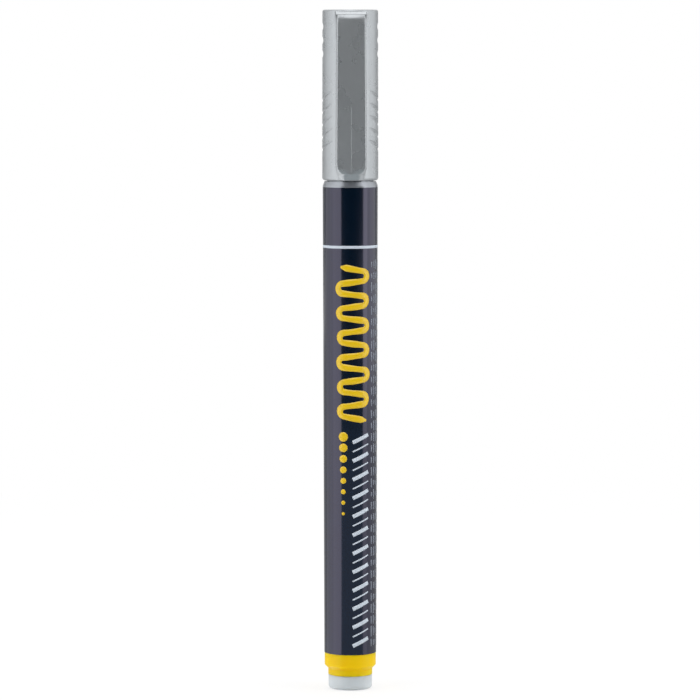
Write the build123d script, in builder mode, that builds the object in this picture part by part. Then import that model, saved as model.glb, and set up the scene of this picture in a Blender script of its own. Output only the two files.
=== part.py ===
from build123d import *
import os
from math import atan2, cos, degrees, pi, radians, sin, sqrt

# Slim liquid chalk marker, cap on, standing on its tail.
# The axis is Z with the tail's flat foot at z = 0, and the pocket clip faces -Y. Millimetres.

# Lengths along the axis, from the tail up
PLUG_HEAD_HEIGHT = 2.8  # tail plug below the barrel's neck
NECK_LENGTH = 1.25
STEP_HEIGHT = 0.75  # bevel between the neck and the full barrel
BAND_HEIGHT = 2.5  # bare barrel below the sleeve
SLEEVE_LENGTH = 93.5
COLLAR_HEIGHT = 1.1
MOUTH_GAP = 0.2  # shadow gap between the collar and the cap
CAP_LENGTH = 33.9

# Fits
PRESS_GAP = 0.02  # radial, for pieces pushed home for good
RUNNING_GAP = 0.05  # radial, for pieces that slide or turn
SEALING_GAP = 0.05  # between the closed valve's two cones
SEATING_GAP = 0.1  # end play behind a piece that seats on its flange

# Barrel and its printed film sleeve
BARREL_FRONT_DIAMETER = 10.88
BARREL_TAIL_DIAMETER = 10.30
BARREL_WALL = 0.9
SOCKET_WALL = 0.84  # wall round the front section's plug
STEP_INSET = 0.72  # neck inside the full barrel, radial
NECK_WALL = 0.93
FLOOR_HEIGHT = 1.2  # straight bore ends this far above the neck bevel
NECK_EDGE_RADIUS = 0.15
FILM_THICKNESS = 0.05
FILM_GAP = 0.01

# Tail plug
PLUG_HEAD_INSET = 0.06  # plug head inside the neck, radial
PLUG_SPIGOT_LENGTH = 5.2
PLUG_BEAD = 0.3  # snap bead proud of the spigot, radial
PLUG_BEAD_LAND = 0.5
PLUG_WALL = 1.1
PLUG_FLOOR = 2.0
PLUG_FOOT_RADIUS = 0.6

# Mixing balls, side by side in the bore
BALL_GAP = 0.1

# Front section
SECTION_PLUG_LENGTH = 12.4
SECTION_WALL = 0.95
COLLAR_INSET = 0.03  # collar inside the sleeve, radial
COLLAR_BEVEL = 0.3
COLLAR_BEVEL_HEIGHT = 0.8
REAR_LAND_LENGTH = 2.1  # guides the cap's mouth
FRONT_LAND_LENGTH = 5.4  # guides the cap's bead
LAND_STEP = 0.14  # front land inside the rear land, radial
CONE_STEP = 0.5
NOSE_LENGTH = 2.5
NOSE_WALL = 0.75
NOSE_EDGE_RADIUS = 0.25
CONE_INNER_DROP = 2.0  # inner cone ends this far below the nose

# Nib and the absorbent sleeve round it
NIB_DIAMETER = 2.4
NIB_EXPOSED = 4.0
NIB_TAPER = 2.2
NIB_TIP_RADIUS = 0.75
BUFFER_LENGTH = 11.0
BUFFER_WALL = 0.7
BUFFER_GAP = 0.1
BUFFER_CHAMFER = 0.2
BUFFER_RIBS = 6  # ribs in the front section that hold the sleeve in its middle
BUFFER_RIB_WIDTH = 0.6
BUFFER_RIB_SINK = 0.4  # ribs rooted in the front section's wall

# Valve
VALVE_DIAMETER = 6.4
VALVE_INSERT = 5.0  # housing inside the front section
VALVE_TAIL = 10.0  # housing behind the front section
VALVE_FRONT_WALL = 1.5
VALVE_WALL = 0.8
VALVE_FLANGE = 1.6
VALVE_FLANGE_GAP = 0.2
SEAT_THICKNESS = 1.2
SEAT_CHAMFER = 0.5
STEM_ROD_DIAMETER = 1.8
STEM_FLOW_GAP = 0.4  # ring of ink round the rod, radial
STEM_ROD_REACH = 2.5  # rod in front of the housing
STEM_HEAD_THICKNESS = 1.3
STEM_HEAD_GAP = 0.5  # ring of ink round the head, radial
STEM_SPIGOT_LENGTH = 5.0
CAGE_RIM = 0.8
CAGE_FLOOR = 1.2
CAGE_BOSS_HEIGHT = 0.8
CAGE_HOLE_DIAMETER = 1.1
CAGE_HOLES = 4
SPRING_WIRE = 0.4
SPRING_SIDE_GAP = 0.7  # between the coil and the housing's bore
SPRING_GUIDE_GAP = 0.3  # between the coil and what it is threaded on
SPRING_END_GAP = 0.02
SPRING_TURNS = 7

# Cap and its liner
CAP_PROUD = 0.15  # cap's mouth outside the barrel's front, radial
CAP_TAPER = 0.05  # crown inside the mouth, radial
CAP_MOUTH_DIAMETER = BARREL_FRONT_DIAMETER + 2 * CAP_PROUD
CAP_CROWN_DIAMETER = CAP_MOUTH_DIAMETER - 2 * CAP_TAPER
CAP_WALL = 0.88
CROWN_THICKNESS = 1.5
CROWN_EDGE_RADIUS = 0.4
MOUTH_EDGE_RADIUS = 0.6
MOUTH_CHAMFER = 0.2
BEAD_HEIGHT = 0.8  # snap bead inside the cap
BEAD_UP = 2.4  # bead above the mouth
RIBS = 6
RIB_WIDTH = 0.7
RIB_SINK = 0.4  # ribs rooted in the cap's wall
RIB_UP = 1.0  # ribs start above the liner's mouth
LINER_WALL = 0.8
LINER_FLANGE = 1.2
LINER_WEB = 1.2
LINER_OVERLAP = 2.2  # liner's mouth over the nose
LINER_LEAD = 0.3
TIP_ROOM = 1.5  # free space past the nib's tip
HEAD_ROOM = 7.0  # nib's tip below the crown

# Notches high on the cap's flanks
NOTCHES = 3
NOTCH_PITCH = 2.73
NOTCH_DOWN = 3.3  # top notch below the crown
NOTCH_DEPTH = 0.2
NOTCH_RADIUS = 1.6

# Slanting grip grooves low on the cap's flanks
GROOVES = 5
GROOVE_PITCH = 2.45
GROOVE_UP = 6.15  # lowest groove above the mouth
GROOVE_DEPTH = 0.25
GROOVE_RADIUS = 0.6
GROOVE_TILT = 22.0  # degrees, higher towards the clip
GROOVE_SPAN = 50.0  # degrees each way from the flank's middle

# Pocket clip and the block on the cap that carries its root
CLIP_ROOT_WIDTH = 5.9
CLIP_END_WIDTH = 6.25
CLIP_THICKNESS = 1.2
CLIP_STAND_OFF = 1.3
CLIP_END_UP = 0.2  # clip's end above the cap's mouth
CLIP_LEDGE_UP = 0.73  # ledge behind the clip's brow, above the middle of the root bar
BROW_THICKNESS = 0.5  # clip's top edge, which stands in front of the block
BROW_GAP = 0.16  # free room behind the brow for the clip's flexing
BROW_RADIUS = 1.3  # rounding from the clip's face to the block's slope
CLIP_CORNER_RADIUS = 1.2
CLIP_BEVEL_DEPTH = 0.6
CLIP_SIDE_BEVEL = 0.3
CLIP_END_BEVEL = 1.15
CLIP_FACE_CORNER_RADIUS = 2.1
ROOT_BULGE = 1.0  # root bar behind the arm
FOOT_UP = 3.0  # foot above the clip's end
FOOT_WIDTH = 3.0
FOOT_GAP = 0.3
BLOCK_WIDTH = 5.95
BLOCK_DROP = 0.4  # block's top below the crown
BLOCK_SLOPE_HEIGHT = 1.05
BLOCK_SLOPE_DEPTH = 1.5
ROOT_DOWN = 1.181  # middle of the root bar below the slope's lower edge
LIP_WALL = 0.2  # lip that holds the bar from below
LIP_ANGLE = 70.0  # degrees, the seat wraps this far under the bar

# Stations along the axis
neck_z = PLUG_HEAD_HEIGHT
step_z = neck_z + NECK_LENGTH
band_z = step_z + STEP_HEIGHT
sleeve_z = band_z + BAND_HEIGHT
front_z = sleeve_z + SLEEVE_LENGTH
collar_z = front_z + COLLAR_HEIGHT
mouth_z = collar_z + MOUTH_GAP
crown_z = mouth_z + CAP_LENGTH
crown_under_z = crown_z - CROWN_THICKNESS
section_rear_z = front_z - SECTION_PLUG_LENGTH

# Barrel radii
barrel_front_r = BARREL_FRONT_DIAMETER / 2
barrel_tail_r = BARREL_TAIL_DIAMETER / 2
neck_r = barrel_tail_r - STEP_INSET
neck_bore_r = neck_r - NECK_WALL
bore_tail_r = barrel_tail_r - BARREL_WALL
bore_front_r = barrel_front_r - BARREL_WALL
socket_r = barrel_front_r - SOCKET_WALL
socket_z = section_rear_z - SEATING_GAP
bore_end_z = band_z + FLOOR_HEIGHT
catch_z = bore_end_z - (bore_tail_r - neck_bore_r)
film_outer_gap = FILM_GAP + FILM_THICKNESS

# Cap radii, which the front section's lands follow
cap_mouth_r = CAP_MOUTH_DIAMETER / 2
cap_crown_r = CAP_CROWN_DIAMETER / 2
cap_bore_r = cap_crown_r - CAP_WALL
rear_land_r = cap_bore_r - RUNNING_GAP
front_land_r = rear_land_r - LAND_STEP
bead_r = front_land_r + RUNNING_GAP

# Front section and nib
collar_r = barrel_front_r + film_outer_gap - COLLAR_INSET
section_plug_r = socket_r - PRESS_GAP
rear_land_z = collar_z + REAR_LAND_LENGTH
cone_z = rear_land_z + FRONT_LAND_LENGTH
nib_r = NIB_DIAMETER / 2
nib_bore_r = nib_r + RUNNING_GAP
nib_tip_z = crown_under_z - HEAD_ROOM
nose_tip_z = nib_tip_z - NIB_EXPOSED
nose_z = nose_tip_z - NOSE_LENGTH
nose_r = nib_bore_r + NOSE_WALL
cone_r = front_land_r - CONE_STEP
chamber_r = cone_r - SECTION_WALL
cone_inner_z = nose_z - CONE_INNER_DROP
buffer_bore_r = nib_r + BUFFER_GAP
buffer_r = buffer_bore_r + BUFFER_WALL
buffer_socket_r = buffer_r + RUNNING_GAP
inner_slope = (cone_inner_z - cone_z) / (chamber_r - nib_bore_r)
buffer_top_z = cone_z + (chamber_r - buffer_socket_r) * inner_slope - SEATING_GAP
buffer_z = buffer_top_z - BUFFER_LENGTH

# Valve
valve_body_r = VALVE_DIAMETER / 2
valve_socket_r = valve_body_r + PRESS_GAP
valve_bore_r = valve_body_r - VALVE_WALL
valve_front_z = section_rear_z + VALVE_INSERT
valve_stop_z = valve_front_z + SEATING_GAP
valve_wall_z = valve_front_z - VALVE_FRONT_WALL
valve_rear_z = section_rear_z - VALVE_TAIL
flange_z = section_rear_z - VALVE_FLANGE
flange_r = min(bore_front_r, socket_r) - VALVE_FLANGE_GAP
rod_r = STEM_ROD_DIAMETER / 2
valve_hole_r = rod_r + STEM_FLOW_GAP
seat_z = valve_wall_z - SEAT_THICKNESS
head_top_z = seat_z - SEALING_GAP
head_z = head_top_z - STEM_HEAD_THICKNESS
head_r = valve_bore_r - STEM_HEAD_GAP
seal_cone_r = valve_hole_r + SEAT_CHAMFER
rod_tip_z = valve_front_z + STEM_ROD_REACH
nib_rear_z = rod_tip_z + PRESS_GAP
cage_z = valve_rear_z - CAGE_RIM
cage_floor_z = valve_rear_z + CAGE_FLOOR
wire_r = SPRING_WIRE / 2
coil_r = valve_bore_r - SPRING_SIDE_GAP - wire_r
guide_r = coil_r - wire_r - SPRING_GUIDE_GAP
coil_start_z = cage_floor_z + wire_r + SPRING_END_GAP
coil_end_z = head_z - wire_r - SPRING_END_GAP
coil_pitch = (coil_end_z - coil_start_z) / SPRING_TURNS

# Cap liner
liner_bore_r = nose_r + RUNNING_GAP
liner_r = liner_bore_r + LINER_WALL
liner_mouth_z = nose_tip_z - LINER_OVERLAP
liner_room_z = nib_tip_z + TIP_ROOM
liner_flange_z = crown_under_z - LINER_FLANGE

# Clip: the arm's two faces, and the bar at its root
clip_back_y = -(cap_mouth_r + CLIP_STAND_OFF)
clip_front_y = clip_back_y - CLIP_THICKNESS
clip_end_z = mouth_z + CLIP_END_UP
root_r = (CLIP_THICKNESS + ROOT_BULGE) / 2
root_seat_r = root_r + RUNNING_GAP
block_top_z = crown_z - BLOCK_DROP
block_nose_z = block_top_z - BLOCK_SLOPE_HEIGHT
pivot_y = clip_front_y + root_r
pivot_z = block_nose_z - ROOT_DOWN
clip_ledge_z = pivot_z + CLIP_LEDGE_UP
brow_turn = 90 - degrees(atan2(BLOCK_SLOPE_HEIGHT, BLOCK_SLOPE_DEPTH))
brow_depth = BROW_RADIUS * (1 - cos(radians(brow_turn)))
brow_top_z = block_nose_z + brow_depth * BLOCK_SLOPE_HEIGHT / BLOCK_SLOPE_DEPTH
brow_start_z = brow_top_z - BROW_RADIUS * sin(radians(brow_turn))
brow_back_y = clip_front_y + BROW_THICKNESS
block_front_y = brow_back_y + BROW_GAP
block_front_z = block_nose_z + (block_front_y - clip_front_y) * BLOCK_SLOPE_HEIGHT / BLOCK_SLOPE_DEPTH


def cap_radius(z):
    """Outer radius of the cap's slightly tapered wall at height z."""
    return cap_mouth_r + (cap_crown_r - cap_mouth_r) * (z - mouth_z) / CAP_LENGTH


def clip_outline(side_inset, end_inset, corner_radius):
    """Front view of the clip's arm, from the top of its brow down to the rounded end."""
    half_root = CLIP_ROOT_WIDTH / 2 - side_inset
    half_end = CLIP_END_WIDTH / 2 - side_inset
    end_z = clip_end_z + end_inset
    with BuildSketch() as outline:
        with BuildLine():
            Polyline(
                (-half_root, brow_top_z),
                (-half_end, end_z),
                (half_end, end_z),
                (half_root, brow_top_z),
                close=True,
            )
        make_face()
        fillet(outline.vertices().group_by(Axis.Y)[0], radius=corner_radius)
    return outline.sketch


def coil_point(turn):
    """Point on the spring's centre line after a number of turns."""
    angle = 2 * pi * turn
    return Vector(coil_r * cos(angle), coil_r * sin(angle), coil_start_z + coil_pitch * turn)


def coil_direction(turn):
    """Direction of the spring's centre line after a number of turns."""
    angle = 2 * pi * turn
    return Vector(-2 * pi * coil_r * sin(angle), 2 * pi * coil_r * cos(angle), coil_pitch).normalized()


def biarc_corners(start, start_direction, end, end_direction):
    """The two tangent corners of the pair of arcs that joins two points with given directions."""
    span = end - start
    turned = 2 * (1 - start_direction.dot(end_direction))
    along = span.dot(start_direction + end_direction)
    reach = (sqrt(along * along + turned * span.dot(span)) - along) / turned
    return start + start_direction * reach, end - end_direction * reach


# Barrel: tapered tube with a stepped tail and a socket for the front section
with BuildPart() as barrel:
    with BuildSketch(Plane.XZ):
        with BuildLine():
            Polyline(
                (neck_bore_r, neck_z),
                (neck_r, neck_z),
                (neck_r, step_z),
                (barrel_tail_r, band_z),
                (barrel_tail_r, sleeve_z),
                (barrel_front_r, front_z),
                (socket_r, front_z),
                (socket_r, socket_z),
                (bore_front_r, socket_z),
                (bore_tail_r, bore_end_z),
                (neck_bore_r, catch_z),
                close=True,
            )
        make_face()
    revolve(axis=Axis.Z)
    fillet(barrel.edges().group_by(Axis.Z)[0].sort_by(SortBy.RADIUS)[-1], radius=NECK_EDGE_RADIUS)
barrel.part.label = "barrel"

# Printed film sleeve, shrunk onto the barrel's taper
with BuildPart() as label_sleeve:
    with BuildSketch(Plane.XZ):
        with BuildLine():
            Polyline(
                (barrel_tail_r + FILM_GAP, sleeve_z),
                (barrel_tail_r + film_outer_gap, sleeve_z),
                (barrel_front_r + film_outer_gap, front_z),
                (barrel_front_r + FILM_GAP, front_z),
                close=True,
            )
        make_face()
    revolve(axis=Axis.Z)
label_sleeve.part.label = "label_sleeve"

# Tail plug: flat foot, hollow spigot, and a bead that snaps in behind the neck
spigot_r = neck_bore_r - PRESS_GAP
plug_bead_r = spigot_r + PLUG_BEAD
plug_bead_z = catch_z + SEATING_GAP
plug_top_z = neck_z + PLUG_SPIGOT_LENGTH
plug_hollow_r = spigot_r - PLUG_WALL
with BuildPart() as tail_plug:
    with BuildSketch(Plane.XZ):
        with BuildLine():
            Polyline(
                (0, 0),
                (neck_r - PLUG_HEAD_INSET, 0),
                (neck_r - PLUG_HEAD_INSET, neck_z),
                (spigot_r, neck_z),
                (spigot_r, plug_bead_z),
                (plug_bead_r, plug_bead_z + PLUG_BEAD),
                (plug_bead_r, plug_bead_z + PLUG_BEAD + PLUG_BEAD_LAND),
                (spigot_r - PLUG_BEAD, plug_top_z),
                (plug_hollow_r, plug_top_z),
                (plug_hollow_r, PLUG_FLOOR),
                (0, PLUG_FLOOR),
                close=True,
            )
        make_face()
    revolve(axis=Axis.Z)
    fillet(tail_plug.edges().group_by(Axis.Z)[0], radius=PLUG_FOOT_RADIUS)
tail_plug.part.label = "tail_plug"

# Mixing balls, lying side by side on the tail plug
ball_r = (2 * min(bore_tail_r, bore_front_r) - 3 * BALL_GAP) / 4
ball_x = ball_r + BALL_GAP / 2
ball_z = plug_top_z + BALL_GAP + ball_r
with BuildPart() as mixing_ball_left:
    with Locations((-ball_x, 0, ball_z)):
        Sphere(ball_r)
mixing_ball_left.part.label = "mixing_ball_left"

with BuildPart() as mixing_ball_right:
    with Locations((ball_x, 0, ball_z)):
        Sphere(ball_r)
mixing_ball_right.part.label = "mixing_ball_right"

# Front section: plug in the barrel, bevelled collar, two lands for the cap, cone, nose and inner ribs
section_rib_r = chamber_r + BUFFER_RIB_SINK
with BuildPart() as front_section:
    with BuildSketch(Plane.XZ):
        with BuildLine():
            Polyline(
                (valve_socket_r, section_rear_z),
                (section_plug_r, section_rear_z),
                (section_plug_r, front_z),
                (collar_r, front_z),
                (collar_r, collar_z - COLLAR_BEVEL_HEIGHT),
                (collar_r - COLLAR_BEVEL, collar_z),
                (rear_land_r, collar_z),
                (rear_land_r, rear_land_z),
                (front_land_r, rear_land_z),
                (front_land_r, cone_z),
                (cone_r, cone_z),
                (nose_r, nose_z),
                (nose_r, nose_tip_z),
                (nib_bore_r, nose_tip_z),
                (nib_bore_r, cone_inner_z),
                (chamber_r, cone_z),
                (chamber_r, valve_stop_z),
                (valve_socket_r, valve_stop_z),
                close=True,
            )
        make_face()
    revolve(axis=Axis.Z)
    fillet(front_section.edges().group_by(Axis.Z)[-1].sort_by(SortBy.RADIUS)[-1], radius=NOSE_EDGE_RADIUS)
    with BuildSketch(Plane.XY.offset(buffer_z)):
        with PolarLocations((buffer_socket_r + section_rib_r) / 2, BUFFER_RIBS):
            Rectangle(section_rib_r - buffer_socket_r, BUFFER_RIB_WIDTH)
    extrude(amount=cone_z - buffer_z)
front_section.part.label = "front_section"

# Nib: fibre rod with a tapered bullet tip
with BuildPart() as nib:
    with BuildSketch(Plane.XZ):
        with BuildLine():
            Polyline(
                (0, nib_tip_z),
                (0, nib_rear_z),
                (nib_r, nib_rear_z),
                (nib_r, nib_tip_z - NIB_TAPER),
                (NIB_TIP_RADIUS, nib_tip_z - NIB_TIP_RADIUS),
            )
            CenterArc((0, nib_tip_z - NIB_TIP_RADIUS), NIB_TIP_RADIUS, 0, 90)
        make_face()
    revolve(axis=Axis.Z)
nib.part.label = "nib"

# Absorbent sleeve round the nib, between the front section's ribs with its top in the inner cone
with BuildPart() as ink_buffer:
    with BuildSketch(Plane.XY.offset(buffer_z)):
        Circle(buffer_r)
        Circle(buffer_bore_r, mode=Mode.SUBTRACT)
    extrude(amount=BUFFER_LENGTH)
    chamfer(ink_buffer.edges().filter_by(GeomType.CIRCLE), length=BUFFER_CHAMFER)
ink_buffer.part.label = "ink_buffer"

# Valve housing, pushed into the front section up to its flange
with BuildPart() as valve_body:
    with BuildSketch(Plane.XZ):
        with BuildLine():
            Polyline(
                (valve_hole_r, valve_front_z),
                (valve_body_r, valve_front_z),
                (valve_body_r, section_rear_z),
                (flange_r, section_rear_z),
                (flange_r, flange_z),
                (valve_body_r, flange_z),
                (valve_body_r, valve_rear_z),
                (valve_bore_r, valve_rear_z),
                (valve_bore_r, valve_wall_z),
                (valve_hole_r, valve_wall_z),
                close=True,
            )
        make_face()
    revolve(axis=Axis.Z)
valve_body.part.label = "valve_body"

# Soft seat ring behind the housing's front wall
with BuildPart() as valve_seat:
    with BuildSketch(Plane.XZ):
        with BuildLine():
            Polyline(
                (valve_hole_r, valve_wall_z),
                (valve_bore_r - PRESS_GAP, valve_wall_z),
                (valve_bore_r - PRESS_GAP, seat_z),
                (seal_cone_r, seat_z),
                (valve_hole_r, seat_z + SEAT_CHAMFER),
                close=True,
            )
        make_face()
    revolve(axis=Axis.Z)
valve_seat.part.label = "valve_seat"

# Valve stem: rod that the nib pushes, head with the sealing cone, spigot inside the spring
stem_cone_r = seal_cone_r - SEALING_GAP
with BuildPart() as valve_stem:
    with BuildSketch(Plane.XZ):
        with BuildLine():
            Polyline(
                (0, head_z - STEM_SPIGOT_LENGTH),
                (guide_r, head_z - STEM_SPIGOT_LENGTH),
                (guide_r, head_z),
                (head_r, head_z),
                (head_r, head_top_z),
                (stem_cone_r, head_top_z),
                (rod_r, head_top_z + stem_cone_r - rod_r),
                (rod_r, rod_tip_z),
                (0, rod_tip_z),
                close=True,
            )
        make_face()
    revolve(axis=Axis.Z)
valve_stem.part.label = "valve_stem"

# Spring cage: perforated plug that closes the housing's rear end
cage_plug_r = valve_bore_r - PRESS_GAP
with BuildPart() as spring_cage:
    with BuildSketch(Plane.XY.offset(cage_z)):
        Circle(valve_body_r)
    extrude(amount=CAGE_RIM)
    with BuildSketch(Plane.XY.offset(valve_rear_z)):
        Circle(cage_plug_r)
    extrude(amount=CAGE_FLOOR)
    with BuildSketch(Plane.XY.offset(cage_floor_z)):
        Circle(guide_r)
    extrude(amount=CAGE_BOSS_HEIGHT)
    with BuildSketch(Plane.XY.offset(cage_z)):
        with PolarLocations((guide_r + cage_plug_r) / 2, CAGE_HOLES):
            Circle(CAGE_HOLE_DIAMETER / 2)
    extrude(amount=CAGE_RIM + CAGE_FLOOR, mode=Mode.SUBTRACT)
spring_cage.part.label = "spring_cage"

# Valve spring: one wire wound on pairs of arcs, half a turn to each pair
with BuildPart() as valve_spring:
    with BuildLine():
        for half_turn in range(2 * SPRING_TURNS):
            start = coil_point(half_turn / 2)
            end = coil_point((half_turn + 1) / 2)
            start_direction = coil_direction(half_turn / 2)
            end_direction = coil_direction((half_turn + 1) / 2)
            first_corner, second_corner = biarc_corners(start, start_direction, end, end_direction)
            middle = (first_corner + second_corner) * 0.5
            TangentArc(start, middle, tangent=start_direction)
            TangentArc(middle, end, tangent=second_corner - first_corner)
    with BuildSketch(Plane(origin=coil_point(0), z_dir=coil_direction(0))):
        Circle(wire_r)
    sweep()
valve_spring.part.label = "valve_spring"

# Least gap between neighbouring turns, measured on points along the wire
POINTS_PER_TURN = 24
wire_points = [coil_point(step / POINTS_PER_TURN) for step in range(POINTS_PER_TURN * SPRING_TURNS + 1)]
apart = POINTS_PER_TURN // 2
nearest = min(
    (wire_points[later] - point).length
    for index, point in enumerate(wire_points)
    for later in range(index + apart, len(wire_points))
)
print(f"valve_spring least gap to itself {nearest - SPRING_WIRE:.2f} mm")

# Cap: slightly tapered shell with the clip's block, liner ribs, notches and grip grooves
ring_inner_x = cap_radius(mouth_z + GROOVE_UP) - GROOVE_DEPTH
ring_end_x = cap_mouth_r * cos(radians(GROOVE_SPAN))
ring_end_y = cap_mouth_r * sin(radians(GROOVE_SPAN)) / cos(radians(GROOVE_TILT))
ring_drop = ring_inner_x - ring_end_x
ring_inner_r = (ring_drop**2 + ring_end_y**2) / (2 * ring_drop)
ring_centre_x = ring_inner_x - ring_inner_r
lip_r = root_seat_r + LIP_WALL
lip_y = pivot_y + lip_r * cos(radians(LIP_ANGLE))
lip_z = pivot_z - lip_r * sin(radians(LIP_ANGLE))
rib_inner_r = liner_r + PRESS_GAP
rib_outer_r = cap_bore_r + RIB_SINK
rib_z = liner_mouth_z + RIB_UP
bead_z = mouth_z + BEAD_UP
with BuildPart() as cap_shell:
    with BuildSketch(Plane.XZ):
        with BuildLine():
            Polyline((0, mouth_z), (cap_mouth_r, mouth_z), (cap_crown_r, crown_z), (0, crown_z), close=True)
        make_face()
    revolve(axis=Axis.Z)
    fillet(cap_shell.edges().group_by(Axis.Z)[-1], radius=CROWN_EDGE_RADIUS)
    fillet(cap_shell.edges().group_by(Axis.Z)[0], radius=MOUTH_EDGE_RADIUS)
    with BuildSketch(Plane.YZ):
        with BuildLine():
            Polyline(
                (0, block_top_z),
                (clip_front_y + BLOCK_SLOPE_DEPTH, block_top_z),
                (block_front_y, block_front_z),
                (block_front_y, pivot_z),
                (pivot_y, pivot_z),
                (lip_y, lip_z),
                (0, lip_z + lip_y),
                close=True,
            )
        make_face()
    extrude(amount=BLOCK_WIDTH / 2, both=True)
    with BuildSketch(Plane.YZ):
        with Locations((pivot_y, pivot_z)):
            Circle(root_seat_r)
    extrude(amount=BLOCK_WIDTH, both=True, mode=Mode.SUBTRACT)
    with BuildSketch(Plane.XZ):
        with BuildLine():
            Polyline(
                (0, mouth_z),
                (cap_bore_r + MOUTH_CHAMFER, mouth_z),
                (cap_bore_r, mouth_z + MOUTH_CHAMFER),
                (cap_bore_r, bead_z),
                (bead_r, bead_z + LAND_STEP),
                (bead_r, bead_z + BEAD_HEIGHT - LAND_STEP),
                (cap_bore_r, bead_z + BEAD_HEIGHT),
                (cap_bore_r, crown_under_z),
                (0, crown_under_z),
                close=True,
            )
        make_face()
    revolve(axis=Axis.Z, mode=Mode.SUBTRACT)
    with BuildSketch(Plane.XY.offset(rib_z)):
        with PolarLocations((rib_inner_r + rib_outer_r) / 2, RIBS):
            Rectangle(rib_outer_r - rib_inner_r, RIB_WIDTH)
    extrude(amount=liner_flange_z - SEATING_GAP - rib_z)
    for side in (-1, 1):
        for notch in range(NOTCHES):
            notch_z = crown_z - NOTCH_DOWN - notch * NOTCH_PITCH
            notch_x = cap_radius(notch_z) - NOTCH_DEPTH + NOTCH_RADIUS
            with BuildSketch(Plane.XZ):
                with Locations((side * notch_x, notch_z)):
                    Circle(NOTCH_RADIUS)
            extrude(amount=cap_mouth_r, both=True, mode=Mode.SUBTRACT)
        for groove in range(GROOVES):
            groove_z = mouth_z + GROOVE_UP + groove * GROOVE_PITCH
            with Locations(Location((side * ring_centre_x, 0, groove_z), (-GROOVE_TILT, 0, 0))):
                Torus(ring_inner_r + GROOVE_RADIUS, GROOVE_RADIUS, mode=Mode.SUBTRACT)
cap_shell.part.label = "cap_shell"

# Cap liner: soft cup over the nose, hung from a flange under the crown
with BuildPart() as inner_cap:
    with BuildSketch(Plane.XZ):
        with BuildLine():
            Polyline(
                (0, liner_room_z),
                (liner_bore_r, liner_room_z),
                (liner_bore_r, liner_mouth_z + LINER_LEAD),
                (liner_bore_r + LINER_LEAD, liner_mouth_z),
                (liner_r, liner_mouth_z),
                (liner_r, liner_flange_z),
                (cap_bore_r - PRESS_GAP, liner_flange_z),
                (cap_bore_r - PRESS_GAP, crown_under_z),
                (liner_bore_r, crown_under_z),
                (liner_bore_r, liner_room_z + LINER_WEB),
                (0, liner_room_z + LINER_WEB),
                close=True,
            )
        make_face()
    revolve(axis=Axis.Z)
inner_cap.part.label = "inner_cap"

# Pocket clip: bevelled arm with a rounded brow and a tongue end, root bar, and a foot that grips cloth
bevel_y = clip_front_y + CLIP_BEVEL_DEPTH
foot_height = CLIP_STAND_OFF - FOOT_GAP
foot_z = clip_end_z + FOOT_UP
with BuildPart() as pocket_clip:
    with BuildSketch(Plane.XZ.offset(-clip_back_y)):
        add(clip_outline(0, 0, CLIP_CORNER_RADIUS))
    extrude(amount=CLIP_THICKNESS - CLIP_BEVEL_DEPTH)
    with BuildSketch(Plane.XZ.offset(-bevel_y)):
        add(clip_outline(0, 0, CLIP_CORNER_RADIUS))
    with BuildSketch(Plane.XZ.offset(-clip_front_y)):
        add(clip_outline(CLIP_SIDE_BEVEL, CLIP_END_BEVEL, CLIP_FACE_CORNER_RADIUS))
    loft(ruled=True)
    with BuildSketch(Plane.YZ):
        with BuildLine():
            Polyline(
                (brow_back_y, brow_top_z),
                (brow_back_y, clip_ledge_z),
                (clip_back_y, clip_ledge_z),
                (clip_back_y, brow_top_z),
                close=True,
            )
        make_face()
        with BuildLine():
            CenterArc((clip_front_y + BROW_RADIUS, brow_start_z), BROW_RADIUS, 180, -brow_turn)
            Polyline(
                (clip_front_y, brow_start_z),
                (clip_front_y, brow_top_z),
                (clip_front_y + brow_depth, brow_top_z),
            )
        make_face()
    extrude(amount=CLIP_ROOT_WIDTH, both=True, mode=Mode.SUBTRACT)
    with BuildSketch(Plane.YZ):
        with Locations((pivot_y, pivot_z)):
            Circle(root_r)
    extrude(amount=CLIP_ROOT_WIDTH / 2, both=True)
    with BuildSketch(Plane.YZ):
        with BuildLine():
            CenterArc((clip_back_y, foot_z), foot_height, -90, 180)
            Line((clip_back_y, foot_z + foot_height), (clip_back_y, foot_z - foot_height))
        make_face()
    extrude(amount=FOOT_WIDTH / 2, both=True)
pocket_clip.part.label = "pocket_clip"

os.makedirs("parts", exist_ok=True)
PIECES = (
    barrel,
    label_sleeve,
    tail_plug,
    mixing_ball_left,
    mixing_ball_right,
    front_section,
    nib,
    ink_buffer,
    valve_body,
    valve_seat,
    valve_stem,
    spring_cage,
    valve_spring,
    cap_shell,
    inner_cap,
    pocket_clip,
)
for piece in PIECES:
    export_step(piece.part, f"parts/{piece.part.label}.step")
print(f"overall length {crown_z:.1f} mm, clip pivot y {pivot_y:.3f} z {pivot_z:.3f}")
print(f"ball travel {cage_z - BALL_GAP - ball_r - ball_z:.2f} mm, spring from z {cage_floor_z:.2f}")
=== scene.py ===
from math import acos, cos, degrees, exp, pi, radians, sin, tan
import random

import bmesh
import bpy
from mathutils import Matrix, Vector


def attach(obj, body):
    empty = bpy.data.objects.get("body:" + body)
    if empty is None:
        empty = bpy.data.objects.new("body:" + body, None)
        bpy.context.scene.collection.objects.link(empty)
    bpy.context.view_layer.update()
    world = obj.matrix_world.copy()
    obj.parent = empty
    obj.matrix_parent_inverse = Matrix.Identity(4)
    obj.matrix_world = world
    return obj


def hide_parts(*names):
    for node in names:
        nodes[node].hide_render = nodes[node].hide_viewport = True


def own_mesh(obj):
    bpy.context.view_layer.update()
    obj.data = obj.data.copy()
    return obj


# Slim liquid chalk marker, cap on, standing on its tail under soft side light.
# The axis is Z with the tail's foot at z = 0, and the pocket clip faces -Y.
# Sizes are in millimetres, and MM turns them into the scene's metres. Angles are in degrees.

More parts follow.
